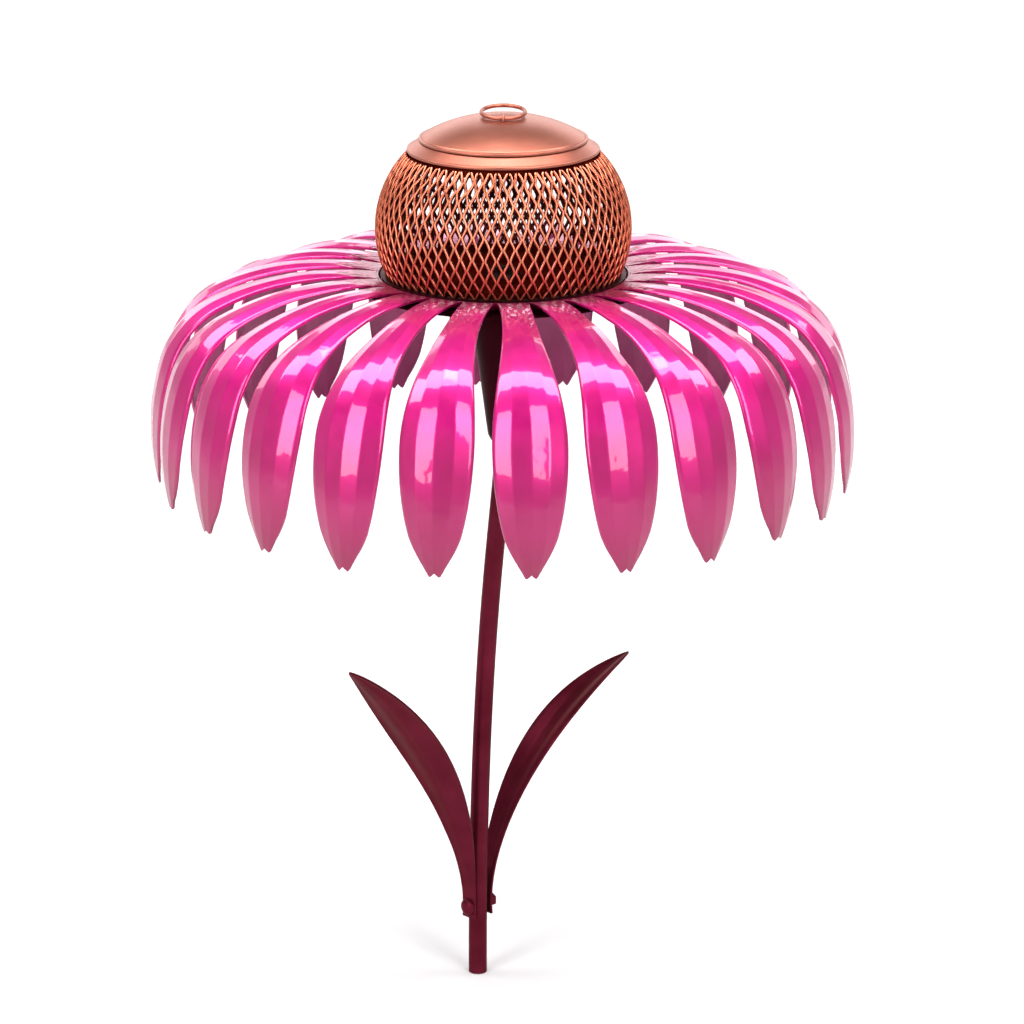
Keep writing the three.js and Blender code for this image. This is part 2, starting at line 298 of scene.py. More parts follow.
def candy_pink():
    """Candy paint on the petals: a metallic magenta under a wet clear coat, painted darker at the tips as
    painted shade.
    """
    look = Look("candy_pink", Metallic=0.6, Coat_Roughness=0.05, Coat_IOR=1.47)
    cloud = look.grain(0.022, detail=4)
    colour = look.ramp(cloud, (0.3, (0.52, 0.0004, 0.150)), (0.7, (0.66, 0.0006, 0.21)))
    # the tips are painted darker, as painted shade
    colour = look.mixed(look.attribute("painted_tip_shade"), colour, (0.25, 0.0, 0.055))
    hammered = look.attribute("hammered")
    dents = look.grain(2.4 * MM, detail=1)
    # the hammered root is painted darker: real hammer marks, with painted shade and a painted reflection
    # of the basket above them
    deep = look.ramp(dents, (0.35, (0.17, 0.0, 0.038)), (0.65, (0.42, 0.0, 0.100)))
    look.link(look.mixed(hammered, colour, deep), "Base Color")
    look.link(look.ramp(look.grain(0.006), (0.3, 0.32), (0.7, 0.40)), "Roughness")
    dent_height = look.math("MULTIPLY", dents, hammered)
    fine = look.bumps(look.grain(1.6 * MM, detail=1), 0.004 * MM)
    look.link(look.bumps(dent_height, 0.3 * MM, fine), "Normal")
    peel = look.bumps(look.grain(11 * MM, detail=2), 0.22 * MM)
    look.link(look.bumps(dent_height, 0.5 * MM, peel), "Coat Normal")
    look.link(look.ramp(hammered, (0.0, 1.0), (1.0, 0.4)), "Coat Weight")
    return look.material


def pink_back_painted_shade():
    """The petals' backs: the pink darkened as painted shade, under a duller coat."""
    look = Look("pink_back_painted_shade", Metallic=0.2, Coat_Weight=0.15, Coat_Roughness=0.3)
    cloud = look.grain(0.03, detail=4)
    look.link(look.ramp(cloud, (0.3, (0.20, 0.012, 0.075)), (0.7, (0.29, 0.022, 0.115))), "Base Color")
    look.link(look.ramp(look.grain(0.004), (0.3, 0.42), (0.7, 0.55)), "Roughness")
    look.link(look.bumps(look.grain(1.2 * MM), 0.03 * MM), "Normal")
    return look.material


def copper_satin():
    """Spun copper of the lid and collar, with fine turning marks and a faint mottle."""
    look = Look("copper_satin", Metallic=0.95, Coat_Weight=0.06, Coat_Roughness=0.2)
    mottle = look.grain(0.018, detail=5)
    look.link(look.ramp(mottle, (0.3, (0.38, 0.122, 0.080)), (0.7, (0.45, 0.150, 0.102))), "Base Color")
    look.link(look.ramp(look.grain(1.4 * MM), (0.3, 0.36), (0.7, 0.43)), "Roughness")
    fine = look.bumps(look.grain(1.2 * MM, detail=1), 0.006 * MM)
    turning = look.grain(1.4 * MM, detail=1, stretch=(0.15, 0.15, 3))
    look.link(look.bumps(turning, 0.006 * MM, fine), "Normal")
    return look.material


def copper_mesh():
    """Copper of the expanded mesh, with painted light: a pale painted highlight on the outer ridges and
    dark red painted shade on the flanks and inside.
    """
    look = Look("copper_mesh", Metallic=0.9, Specular_Tint=(0.8, 0.3, 0.18),
                Coat_Weight=0.2, Coat_Roughness=0.12)
    mottle = look.grain(0.012, detail=4)
    painted_ridge_light = look.attribute("painted_ridge_light")
    # the ramps run from near-black painted shade on the flanks and inner side to a painted highlight on
    # the outer ridge
    red = look.ramp(painted_ridge_light, (0.25, (0.07, 0.006, 0.003)), (0.55, (0.38, 0.045, 0.018)),
                    (0.85, (0.64, 0.17, 0.085)))
    pale = look.ramp(painted_ridge_light, (0.25, (0.11, 0.014, 0.008)), (0.55, (0.50, 0.095, 0.048)),
                     (0.85, (0.76, 0.29, 0.18)))
    look.link(look.mixed(mottle, red, pale), "Base Color")
    look.link(look.ramp(look.grain(3 * MM), (0.3, 0.2), (0.7, 0.3)), "Roughness")
    look.link(look.bumps(look.grain(1.5 * MM, detail=1), 0.02 * MM), "Normal")
    return look.material


def copper_painted_shade():
    """The basket's floor and inner hoop, their copper painted a dark red-brown as painted shade inside the
    basket.
    """
    look = Look("copper_painted_shade", Metallic=0.0, Specular_IOR_Level=0.0, Specular_Tint=(0.4, 0.04, 0.02))
    mottle = look.grain(0.012, detail=5)
    look.link(look.ramp(mottle, (0.3, (0.035, 0.002, 0.001)), (0.7, (0.100, 0.008, 0.004))), "Base Color")
    look.link(look.ramp(look.grain(0.004), (0.3, 0.5), (0.7, 0.65)), "Roughness")
    look.link(look.bumps(look.grain(1.5 * MM), 0.03 * MM), "Normal")
    return look.material


def maroon_paint(name, depth):
    """Satin maroon powder coat. depth scales its lightness: 1 for the pole and leaves, less for a darker
    copy that is painted shade.
    """
    look = Look(name, Metallic=0.5, Specular_IOR_Level=0.1, Specular_Tint=(0.45, 0.06, 0.12))
    cloud = look.grain(0.02, detail=4)
    dull = tuple(value * depth for value in (0.080, 0.006, 0.014))
    bright = tuple(value * depth for value in (0.125, 0.012, 0.026))
    look.link(look.ramp(cloud, (0.3, dull), (0.7, bright)), "Base Color")
    look.link(look.ramp(look.grain(0.003), (0.3, 0.28), (0.7, 0.38)), "Roughness")
    look.link(look.bumps(look.grain(1.2 * MM, detail=1), 0.015 * MM), "Normal")
    return look.material


def zinc_painted_shade():
    """Zinc-plated steel of the bolt and nut inside the neck, darkened as painted shade."""
    look = Look("zinc_painted_shade", Metallic=0.9, Specular_Tint=(0.3, 0.2, 0.2))
    spangle = look.spangles(1.4 * MM)
    look.link(look.ramp(spangle, (0.2, (0.022, 0.012, 0.010)), (0.8, (0.045, 0.026, 0.022))), "Base Color")
    look.link(look.ramp(look.grain(0.002), (0.3, 0.4), (0.7, 0.5)), "Roughness")
    look.link(look.bumps(look.grain(1.2 * MM), 0.01 * MM), "Normal")
    return look.material


PINK, PINK_BACK_PAINTED_SHADE = candy_pink(), pink_back_painted_shade()
# the third copper is darkened as painted shade inside the basket
COPPER, MESH_COPPER, COPPER_PAINTED_SHADE = copper_satin(), copper_mesh(), copper_painted_shade()
# the second maroon is the same paint darkened as painted shade, for the plate, the neck and the hem under
# the petals
MAROON, MAROON_PAINTED_SHADE = maroon_paint("maroon_paint", 1.0), maroon_paint("maroon_painted_shade", 0.22)
# the zinc is darkened as painted shade for the hidden bolt and nut
ZINC_PAINTED_SHADE = zinc_painted_shade()


# --- Petals ---

PETAL_TURN = 4.4                    # degrees the first petal stands past -Y
PETAL_START_R = RING_R + GAP
PETAL_RISE = 10                     # degrees the petal climbs where it leaves the ring
PETAL_ARCS = ((138.5 * MM, 34), (50 * MM, 48), (120 * MM, 31.2))   # radius and sweep in degrees
PETAL_LENGTH = sum(radius * math.radians(sweep) for radius, sweep in PETAL_ARCS)
PETAL_ROOT_W = 15 * MM
PETAL_MAX_W = 35.5 * MM
PETAL_SWELL = 1.5                   # more than 1 keeps the root narrow for longer
PETAL_TAPER = 0.62                  # 0.5 would close the tip as an ellipse
PETAL_WIDEST = 0.67                 # part of its length at which the petal is widest
PETAL_CLOSE = 1.02                  # part of its length at which its two edges would meet
SLOT_ROUND = 5 * MM                 # length over which the slot between two petals opens
EDGE_AT = 0.94                      # part of the half width at which the edge turns down
HALF_WAY = 0.5                      # part of the half width at which the outer creases lie
FLAT_SLOPE, SIDE_SLOPE, EDGE_SLOPE = 0.06, 0.20, 0.35
NOTCH = 2.2 * MM                    # depth of the notch in the tip
SHOULDER = 4.5 * MM                 # how far the tip's outer corners are rounded back
CUT_START = 0.9                     # part of its length from which the tip is cut
FORMED = 0.2                        # part of a petal's or leaf's length over which its section deepens
WAVE = 0.3 * MM
WAVE_ACROSS, WAVE_ALONG = 1.1, 45   # waves per half width, and per metre
HAMMERED = 17 * MM                  # length of the hammered root
HAMMERED_FADE = 2 * MM
DENT = 1.9 * MM                     # size of one hammer mark
DENT_HEIGHT = 0.12 * MM
PAINTED_TIP_SHADE_START = 0.62                    # part of its length from which the petal is painted darker towards the tip, as painted shade
ROOT_STEP, ROOT_STEPS = 0.5 * MM, 40
BLADE_STEPS = 80
PETAL_COLUMNS = 48


def petal_line(distance):
    """Distance from the flower's axis, height and slope of the petal's centreline."""
    r, z, slope = PETAL_START_R, RING_HIGH.z - SHEET / 2, math.radians(PETAL_RISE)
    left = distance
    for radius, sweep in PETAL_ARCS:
        turn = min(left / radius, math.radians(sweep))
        r += radius * (math.sin(slope) - math.sin(slope - turn))
        z += radius * (math.cos(slope - turn) - math.cos(slope))
        slope -= turn
        left -= turn * radius
    return r, z, slope


def petal_width(distance, r):
    """Width at a distance along the petal, where r is the distance from the flower's axis."""
    t = distance / PETAL_LENGTH
    if t < PETAL_WIDEST:
        swell = (1 - math.cos(math.pi * (t / PETAL_WIDEST) ** PETAL_SWELL)) / 2
        width = PETAL_ROOT_W + (PETAL_MAX_W - PETAL_ROOT_W) * swell
    else:
        q = (t - PETAL_WIDEST) / (PETAL_CLOSE - PETAL_WIDEST)
        width = PETAL_MAX_W * (1 - q * q) ** PETAL_TAPER
    if distance < SLOT_ROUND:
        pitch = 2 * math.pi * r / len(PETAL_NODES)
        opened = math.sqrt(1 - (1 - distance / SLOT_ROUND) ** 2)
        width += (pitch - width) * (1 - opened)
    return width


def petal_drop(across):
    """How far the section lies below its middle, per width: four flats and a turned-down edge."""
    u = abs(across)
    drop = FLAT_SLOPE * min(u, HALF_WAY) + SIDE_SLOPE * max(0.0, u - HALF_WAY)
    return drop + EDGE_SLOPE * max(0.0, u - EDGE_AT)


def tip_cut(across):
    """How far the tip is cut back: a notch in the middle between two rounded points."""
    u = abs(across)
    if u < HALF_WAY:
        return NOTCH * (1 - u / HALF_WAY) ** 1.3
    return SHOULDER * ((u - HALF_WAY) / (1 - HALF_WAY)) ** 2


def dented(across, distance, seed):
    """Depth of the hammer marks near the root, from 0 to 1."""
    edge = HAMMERED * (1 + 0.28 * math.sin(5 * across + seed))
    return min(1.0, max(0.0, (edge - distance) / HAMMERED_FADE))


def petal(name, angle, seed):
    """One pressed petal with its own small share of waviness."""
    lean = math.radians(chance.uniform(-0.5, 0.5))
    turn = Matrix.Translation(HEAD) @ Matrix.Rotation(angle, 4, "Z")
    marks, painted_tip_shades = [], []

    def place(across, distance):
        t = distance / PETAL_LENGTH
        cut = tip_cut(across) * max(0.0, (t - CUT_START) / (1 - CUT_START))
        r, z, slope = petal_line(distance - cut)
        width = petal_width(distance, r)
        formed = min(1.0, t / FORMED)
        normal = Vector((-math.sin(slope), 0, math.cos(slope)))
        ripple = Vector((across * WAVE_ACROSS, distance * WAVE_ALONG, seed))
        wave = noise.noise(ripple) * WAVE * formed
        mark = dented(across, distance, seed)
        spot = Vector((distance, across * width / 2, seed)) / DENT
        dent = noise.voronoi(spot)[0][0] * DENT_HEIGHT * mark
        marks.append(mark)
        painted_tip_shades.append(max(0.0, (t - PAINTED_TIP_SHADE_START) / (1 - PAINTED_TIP_SHADE_START)))
        point = Vector((r, across * width / 2, z))
        point += normal * (wave + dent - petal_drop(across) * width * formed)
        point.z += lean * (r - PETAL_START_R) * formed
        return turn @ point, (turn.to_3x3() @ normal).normalized()

    near = [i * ROOT_STEP for i in range(ROOT_STEPS)]
    rest = PETAL_LENGTH - near[-1]
    far = [near[-1] + rest * i / BLADE_STEPS for i in range(1, BLADE_STEPS + 1)]
    piece = bent_sheet(name, place, PETAL_COLUMNS, near + far, SHEET, [PINK, PINK_BACK_PAINTED_SHADE])
    add_attribute(piece, "hammered", marks + marks)
    add_attribute(piece, "painted_tip_shade", painted_tip_shades + painted_tip_shades)
    return soften(piece, 0.22 * MM, limit=55)


def petals():
    for i, node in enumerate(PETAL_NODES):
        angle = math.radians(PETAL_TURN - 90 + i * 360 / len(PETAL_NODES))
        piece = petal(node.replace("petal", "pressed_petal"), angle, i + 1)
        hand_over(piece, "feeder", "pink_paint", node)


def petal_disc():
    """The flat middle that all petals grow from, with a hammered step up at its rim."""
    rim = PETAL_START_R
    slant = 0.8 * MM
    outline = filleted([
        (BOLT_HOLE, RING_TOP - SHEET, 0),
        (rim - slant, RING_TOP - SHEET, 0.4 * MM),
        (rim, RING_HIGH.z - SHEET, 0),
        (rim, RING_HIGH.z, 0),
        (rim - 0.8 * SHEET, RING_HIGH.z, 0.6 * MM),
        (rim - SHEET - slant, RING_TOP, 0.4 * MM),
        (BOLT_HOLE, RING_TOP, 0),
    ])
    piece = turned("petal_disc", outline, PINK, segments=480)
    # the whole disc takes the darker root paint, painted shade round the basket's foot
    add_attribute(piece, "hammered", [1.0] * len(piece.data.vertices))
    hand_over(piece, "feeder", "pink_paint", "petal_ring")


# --- Basket, collar, lid and ring pull ---

BASKET_LOW, BASKET_HIGH = (corner.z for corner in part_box("basket"))
BASKET_ARC_R = 10 * MM              # from the flower's axis to the centre of the side's arc
BASKET_ARC_Z = BASKET_HIGH - 38.5 * MM
BASKET_ARC = 53.8 * MM              # radius of the side's arc
PAINTED_SHADE_HEM_HEIGHT = 1.9 * MM               # height of the dark hem, painted shade in the trough, that the mesh stands in
CELLS_ROUND = 66
HALF_ROWS = 12
STRAND_W = 1.65 * MM
STRAND_T = 2.2 * MM
ZIGZAG = 0.92                       # 0 gives a sine wave, 1 gives straight runs with sharp turns
STRAND_JOINT = 0.28                 # a strand's middle from the joint with its neighbour, per width
ARCH_POWER = 1.9                    # more than 1 rounds the arches of the top row
UNREST_FOOT, UNREST_TOP = 0.10, 0.5     # how uneven the cells are, in cells, and what the top adds
UNREST_ROUND, UNREST_UP = 9, 7      # waves of unevenness per radian, and from foot to top
UNREST_LEVEL = 0.05
ELSEWHERE = Vector((31, 7, 3))      # moves to another part of the noise
LOUVRE = math.radians(28)           # how far the strands' flat sides lean up towards the outside


def basket_point(angle, level):
    """A point on the middle of the basket's wall, with level from 0 at the foot to 1 at the top."""
    radius = BASKET_ARC - STRAND_T / 2
    low = math.asin((BASKET_LOW + PAINTED_SHADE_HEM_HEIGHT / 2 - BASKET_ARC_Z) / radius)
    high = math.asin((BASKET_HIGH - STRAND_W - BASKET_ARC_Z) / radius)
    a = low + (high - low) * level
    r = BASKET_ARC_R + radius * math.cos(a)
    z = BASKET_ARC_Z + radius * math.sin(a)
    return Vector((HEAD_X + r * math.cos(angle), r * math.sin(angle), z))


def strand_path(index, steps=8):
    """A zigzag strand from foot to top. Its last half row closes an arch with its neighbour."""
    pitch = math.pi / CELLS_ROUND
    side = 1 if index % 2 else -1
    if HALF_ROWS % 2:
        side = -side
    last = HALF_ROWS - 1
    path = []
    for k in range(HALF_ROWS * steps + 1):
        row = k / steps
        swing = math.asin(ZIGZAG * math.cos(math.pi * row)) / math.asin(ZIGZAG)
        if row > last:
            swing = math.cos(math.pi * last) * (1 - 2 * (row - last))
            row = HALF_ROWS - (HALF_ROWS - row) ** ARCH_POWER
        level = row / HALF_ROWS
        radius = (basket_point(0, level) - HEAD).xy.length
        reach = pitch / 2 - STRAND_JOINT * STRAND_W / radius
        angle = (index + 0.5) * pitch + side * swing * reach
        unrest = UNREST_FOOT + UNREST_TOP * level ** 2
        stir = Vector((math.cos(angle) * UNREST_ROUND, math.sin(angle) * UNREST_ROUND, level * UNREST_UP))
        angle += pitch * unrest * noise.noise(stir)
        level += UNREST_LEVEL * unrest * noise.noise(stir + ELSEWHERE) * math.sin(math.pi * level)
        path.append((angle, level))
    return path


def mesh_basket():
    """Expanded copper mesh: every strand touches its left and right neighbour in turn."""
    sides = 8
    points, faces, painted_ridge_lights = [], [], []
    turns = [(i + 0.5) * 2 * math.pi / sides for i in range(sides)]
    corners = [(math.cos(a), math.sin(a)) for a in turns]
    for index in range(2 * CELLS_ROUND):
        path = strand_path(index)
        places = [basket_point(angle, level) for angle, level in path]
        first = len(points)
        for k, middle in enumerate(places):
            tangent = (places[min(k + 1, len(places) - 1)] - places[max(k - 1, 0)]).normalized()
            angle, level = path[k]
            away = Vector((math.cos(angle), math.sin(angle), 0))
            deep = away * math.cos(LOUVRE) + UP * math.sin(LOUVRE)
            wide = tangent.cross(deep).normalized()
            deep = wide.cross(tangent)
            for x, y in corners:
                # painted light: 1 on the outer ridge for a painted highlight, falling to 0 on the flanks
                # and inner side for painted shade
                painted_ridge_lights.append((y + 1) / 2 * (1 - 0.75 * x * x))
                points.append(middle + wide * x * STRAND_W / 2 + deep * y * STRAND_T / 2)
        faces += tube_faces(len(places), sides, first)
    piece = new_piece("mesh_basket", points, faces, [MESH_COPPER], 60)
    add_attribute(piece, "painted_ridge_light", painted_ridge_lights)
    hand_over(piece, "feeder", "copper_finish", "basket")


def painted_shade_hem():
    """A dark ring that fills the trough round the basket's foot: painted shade where the gap under the
    basket lies in shadow.
    """
    inner, outer = 57.0 * MM, 61.3 * MM
    low = RING_TOP + GAP
    high = RING_HIGH.z - 0.1 * MM
    crown = high + 0.5 * MM
    outline = filleted([
        (inner, low, 0),
        (outer - 0.8 * MM, low, 0.2 * MM),
        (outer, high, 0.3 * MM),
        (inner + 1.8 * MM, crown, 0.3 * MM),
        (inner, crown, 0.2 * MM),
    ])
    hand_over(turned("painted_shade_hem", outline, MAROON_PAINTED_SHADE), "feeder", "copper_finish")


def painted_shade_hoop():
    """A dark hoop inside the mesh's top edge: painted shade under the collar."""
    height = 3.6 * MM
    thickness = 0.7 * MM
    inset = STRAND_T + 0.2 * MM
    top = BASKET_HIGH - 0.1 * MM

    def wall(z):
        return BASKET_ARC_R + math.sqrt(BASKET_ARC ** 2 - (z - BASKET_ARC_Z) ** 2) - inset

    low = top - height
    outline = filleted([
        (wall(low) - thickness, low, 0.2 * MM),
        (wall(low), low, 0.2 * MM),
        (wall(top), top, 0.2 * MM),
        (wall(top) - thickness, top, 0.2 * MM),
    ])
    hand_over(turned("painted_shade_hoop", outline, COPPER_PAINTED_SHADE), "feeder", "copper_finish")


def basket_tray():
    """The shallow pan that closes the basket's foot."""
    low, high = (corner.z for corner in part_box("basket_floor"))
    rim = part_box("basket_floor")[1].x - HEAD_X
    outline = filleted([
        (BOLT_HOLE, low, 0),
        (rim, low, 0.8 * MM),
        (rim, high, 0.4 * MM),
        (rim - SHEET, high, 0.4 * MM),
        (rim - SHEET, low + SHEET, 0.6 * MM),
        (BOLT_HOLE, low + SHEET, 0),
    ])
    # the pan's copper is darkened as painted shade inside the basket
    piece = turned("basket_tray", outline, COPPER_PAINTED_SHADE)
    hand_over(piece, "feeder", "copper_finish", "basket_floor")


def lid_collar():
    """The cone the lid sits on, with a rolled foot."""
    corner_low, corner_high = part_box("collar")
    low, high = corner_low.z, corner_high.z
    rim = corner_high.x - HEAD_X
    mouth = 40.2 * MM
    outline = filleted([
        (rim - 1.6 * MM, low, 0.3 * MM),
        (rim, low, 0.7 * MM),
        (rim, low + 1.5 * MM, 0.7 * MM),
        (rim - 1.0 * MM, low + 1.9 * MM, 0.3 * MM),
        (mouth + 1.4 * MM, high, 0.6 * MM),
        (mouth, high, 0.3 * MM),
        (mouth, high - 1.4 * MM, 0.3 * MM),
    ])
    piece = turned("lid_collar", outline, COPPER)
    hand_over(piece, "feeder", "copper_finish", "collar")


LID_R = (LID_HIGH.x - LID_LOW.x) / 2
LID_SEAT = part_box("collar")[1].z + GAP
DOME_POWER = 2.3                    # 2 gives a parabola, more gives fuller shoulders


def dome_height(r, rim, rise):
    return rise * (1 - (r / rim) ** DOME_POWER)


def domed_lid():
    """A spun dome that rises straight from a thin rolled rim, with a skirt inside the collar."""
    edge = 0.8 * MM
    rolled_rim = 1.3 * MM
    skirt_r = 39.6 * MM
    dome_r = LID_R - rolled_rim
    foot = LID_SEAT + edge
    rise = LID_HIGH.z - foot
    steps = 40
    outer, inner = [], []
    for i in range(steps + 1):
        r = dome_r * (1 - i / steps)
        outer.append((r, foot + dome_height(r, LID_R, rise), 0))
        s = (skirt_r - SHEET) * i / steps
        inner.append((s, foot - SHEET + dome_height(s, LID_R, rise), 0))
    crease = outer[0][1] - 0.35 * MM
    outline = filleted([
        *inner[:-1],
        (skirt_r - SHEET, LID_LOW.z, 0.2 * MM),
        (skirt_r, LID_LOW.z, 0.2 * MM),
        (skirt_r, LID_SEAT, 0.2 * MM),
        (LID_R, LID_SEAT, 0.4 * MM),
        (LID_R, crease, 0.4 * MM),
        (dome_r + 0.1 * MM, crease, 0.1 * MM),
        *outer,
    ])
    piece = turned("domed_lid", outline, COPPER, segments=288, sharp=50)
    hand_over(piece, "lid", "copper_finish", "lid")


def pull_ring():
    """The wire ring, leaning so that it fits the height of its CAD box."""
    low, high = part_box("ring_pull")
    wire_r = 1.0 * MM
    radius = (high.x - low.x) / 2 - wire_r
    lean = math.asin((high.z - low.z - 2 * wire_r) / (2 * radius))
    turn = Matrix.Translation((low + high) / 2) @ Matrix.Rotation(lean, 4, "X")
    steps = 144
    path = []
    for i in range(steps):
        a = 2 * math.pi * i / steps - math.pi / 2
        path.append(turn @ Vector((radius * math.cos(a), radius * math.sin(a), 0)))
    piece = wire("pull_ring", path, wire_r, COPPER, sides=24, closed=True)
    hand_over(piece, "ring_pull", "copper_finish", "ring_pull")


def staple():
    """The small wire arch that holds the ring on the lid."""
    low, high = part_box("lid_eye")
    wire_r = 0.7 * MM
    middle = (low.y + high.y) / 2
    bend = 1.85 * MM
    crown = high.z - (high.y - low.y) / 2
    foot = low.z - 0.5 * MM
    steps = 16
    path = [Vector((HEAD_X, middle - bend, foot))]
    for i in range(steps + 1):
        a = math.pi * (1 - i / steps)
        path.append(Vector((HEAD_X, middle + bend * math.cos(a), crown + bend * math.sin(a))))
    path.append(Vector((HEAD_X, middle + bend, foot)))
    piece = wire("lid_staple", path, wire_r, COPPER)
    hand_over(piece, "lid", "copper_finish", "lid_eye")


# --- Neck, plate, pole ---

POLE_BEND = (190 * MM, 32 * MM)     # reach of the bend's two handles, from the foot and from the neck


def plate():
    """The round plate under the petals, its maroon darkened as painted shade."""
    rim = (PLATE_HIGH.x - PLATE_LOW.x) / 2
    outline = filleted([
        (BOLT_HOLE, PLATE_LOW.z, 0),
        (rim, PLATE_LOW.z, 0.4 * MM),
        (rim, PLATE_HIGH.z, 0.4 * MM),
        (BOLT_HOLE, PLATE_HIGH.z, 0),
    ])
    hand_over(turned("round_plate", outline, MAROON_PAINTED_SHADE), "feeder", "dark_paint", "backing_plate")


def funnel():
    """The neck: a spun funnel with a short collar round the pole."""
    low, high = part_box("neck")
    foot, top = low.z, high.z
    mouth = high.x - HEAD_X
    bore = POLE_R + GAP
    chamfer = 1.6 * MM
    outer_collar = foot + 3 * MM
    inner_collar = foot + 4.5 * MM
    outline = filleted([
        (bore, foot, 0.2 * MM),
        (bore + PLATE, foot, 0.3 * MM),
        (bore + PLATE + chamfer, outer_collar, 1.0 * MM),
        (mouth, top, 0.6 * MM),
        (BOLT_HOLE, top, 0),
        (BOLT_HOLE, top - PLATE, 0),
        (mouth - PLATE, top - PLATE, 0.3 * MM),
        (bore + chamfer, inner_collar, 0.3 * MM),
        (bore, inner_collar, 0),
    ])
    # the neck's maroon is darkened as painted shade under the petals
    piece = turned("neck_funnel", outline, MAROON_PAINTED_SHADE)
    hand_over(piece, "feeder", "dark_paint", "neck")


def pole_path(steps=120):
    """The pole's centreline with its tangent: a long bend, then straight up into the neck."""
    straight_below_neck = 3 * MM
    bend_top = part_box("neck")[0].z - straight_below_neck
    controls = (Vector((0, 0, 0)), Vector((0, 0, POLE_BEND[0])),
                Vector((HEAD_X, 0, bend_top - POLE_BEND[1])), Vector((HEAD_X, 0, bend_top)))
    path = []
    for i in range(steps + 1):
        t = i / steps
        weights = ((1 - t) ** 3, 3 * t * (1 - t) ** 2, 3 * t * t * (1 - t), t ** 3)
        path.append(sum((p * w for p, w in zip(controls, weights)), Vector()))
    path.append(Vector((HEAD_X, 0, POLE_TOP)))
    return path


def tube_pole():
    """A hollow tube with softly broken edges at both open ends."""
    wall = PLATE
    broken = 0.3 * MM
    path = pole_path()
    sides = 64
    section = []
    last = len(path) - 1
    stations = [(0, POLE_R - broken, 0), (0, POLE_R, broken)]
    stations += [(k, POLE_R, 0) for k in range(1, last)]
    stations += [(last, POLE_R, -broken), (last, POLE_R - broken, 0), (last, POLE_R - wall + broken, 0)]
    stations += [(last, POLE_R - wall, -broken)]
    stations += [(k, POLE_R - wall, 0) for k in range(last - 1, 0, -1)]
    stations += [(0, POLE_R - wall, broken), (0, POLE_R - wall + broken, 0)]
    for k, radius, shift in stations:
        tangent = (path[min(k + 1, last)] - path[max(k - 1, 0)]).normalized()
        across = Vector((0, 1, 0)).cross(tangent)
        middle = path[k] + tangent * shift
        for i in range(sides):
            a = 2 * math.pi * i / sides
            section.append(middle + radius * (across * math.cos(a) + Vector((0, 1, 0)) * math.sin(a)))
    faces = tube_faces(len(stations), sides, closed=True)
    piece = new_piece("tube_pole", section, faces, [MAROON], 40)
    hand_over(piece, "feeder", "dark_paint", "pole")


# --- Leaves and fasteners ---

LEAF_TURN = math.radians(45)        # the leaf bolt's turn from X
# Two handles and the end of each leaf's bend, in millimetres outwards and up from the bolt
LEAF_BEND_LEFT = ((0, 75), (70, 141), (83, 148.8))
LEAF_BEND_RIGHT = ((0, 35), (28.5, 96), (106.8, 111))
LEAF_STEPS = 96
LEAF_TAB = 8.5 * MM                 # width of the flat foot that the bolt goes through
LEAF_TAIL = 6 * MM                  # length of the foot below the bolt
LEAF_TIP = 0.6 * MM                 # width of the tip
LEAF_FOLD = 0.06                    # height of the middle crease, per width
TAB_PART = 0.08                     # part of the leaf's length that stays flat against the pole
CREASE_ROUND = 0.04                 # roundness of the middle crease, per half width
CUPPED = 0.012                      # height of the curve in each half, per width
BOLT_Z = 38 * MM
TAB_FACE = POLE_R + 2 * GAP + PLATE


def leaf_line(bend):
    """Distances from the pole and heights along the leaf, evenly spaced."""
    start = Vector((TAB_FACE - PLATE / 2, BOLT_Z))
    controls = [start] + [start + Vector(point) * MM for point in bend]
    raw = [start - Vector((0, LEAF_TAIL))]
    fine = 400
    for i in range(fine + 1):
        t = i / fine
        weights = ((1 - t) ** 3, 3 * t * (1 - t) ** 2, 3 * t * t * (1 - t), t ** 3)
        raw.append(sum((p * w for p, w in zip(controls, weights)), Vector((0, 0))))
    lengths = [0.0]
    for a, b in zip(raw, raw[1:]):
        lengths.append(lengths[-1] + (b - a).length)
    line, k = [], 0
    for i in range(LEAF_STEPS + 1):
        target = lengths[-1] * i / LEAF_STEPS
        while k < len(raw) - 2 and lengths[k + 1] < target:
            k += 1
        part = (target - lengths[k]) / (lengths[k + 1] - lengths[k])
        line.append((raw[k].lerp(raw[k + 1], part), (raw[k + 1] - raw[k]).normalized()))
    return line


def leaf(name, node, bend, widest, roll, side):
    """One creased leaf, its blade rolled by roll degrees. side is 1 to the right, -1 to the left."""
    line = leaf_line(bend)
    turn = Matrix.Rotation(LEAF_TURN + (math.pi if side < 0 else 0), 4, "Z")

    def place(across, station):
        along = station / LEAF_STEPS
        middle, tangent = line[station]
        blade = max(math.sin(math.pi * along ** 1.5), 0) ** 0.85
        width = widest * blade + LEAF_TAB * (1 - along) ** 5 + LEAF_TIP
        shaped = min(1.0, max(0.0, along - TAB_PART) / FORMED)
        axis = Vector((tangent.x, 0, tangent.y))
        tilt = Matrix.Rotation(math.radians(roll) * shaped, 3, axis)
        normal = tilt @ Vector((tangent.y, 0, -tangent.x))
        sideways = tilt @ Vector((0, 1, 0))
        crease = LEAF_FOLD * width * shaped * (1 - math.hypot(across, CREASE_ROUND))
        cupped = CUPPED * width * shaped * math.sin(2 * math.pi * abs(across))
        point = Vector((middle.x, 0, middle.y)) + sideways * across * width / 2
        point += normal * (crease + cupped)
        return turn @ point, (turn.to_3x3() @ normal).normalized()

    piece = bent_sheet(name, place, 24, range(LEAF_STEPS + 1), PLATE, [MAROON])
    soften(piece, 0.25 * MM, limit=55)
    hand_over(piece, "feeder", "dark_paint", node)


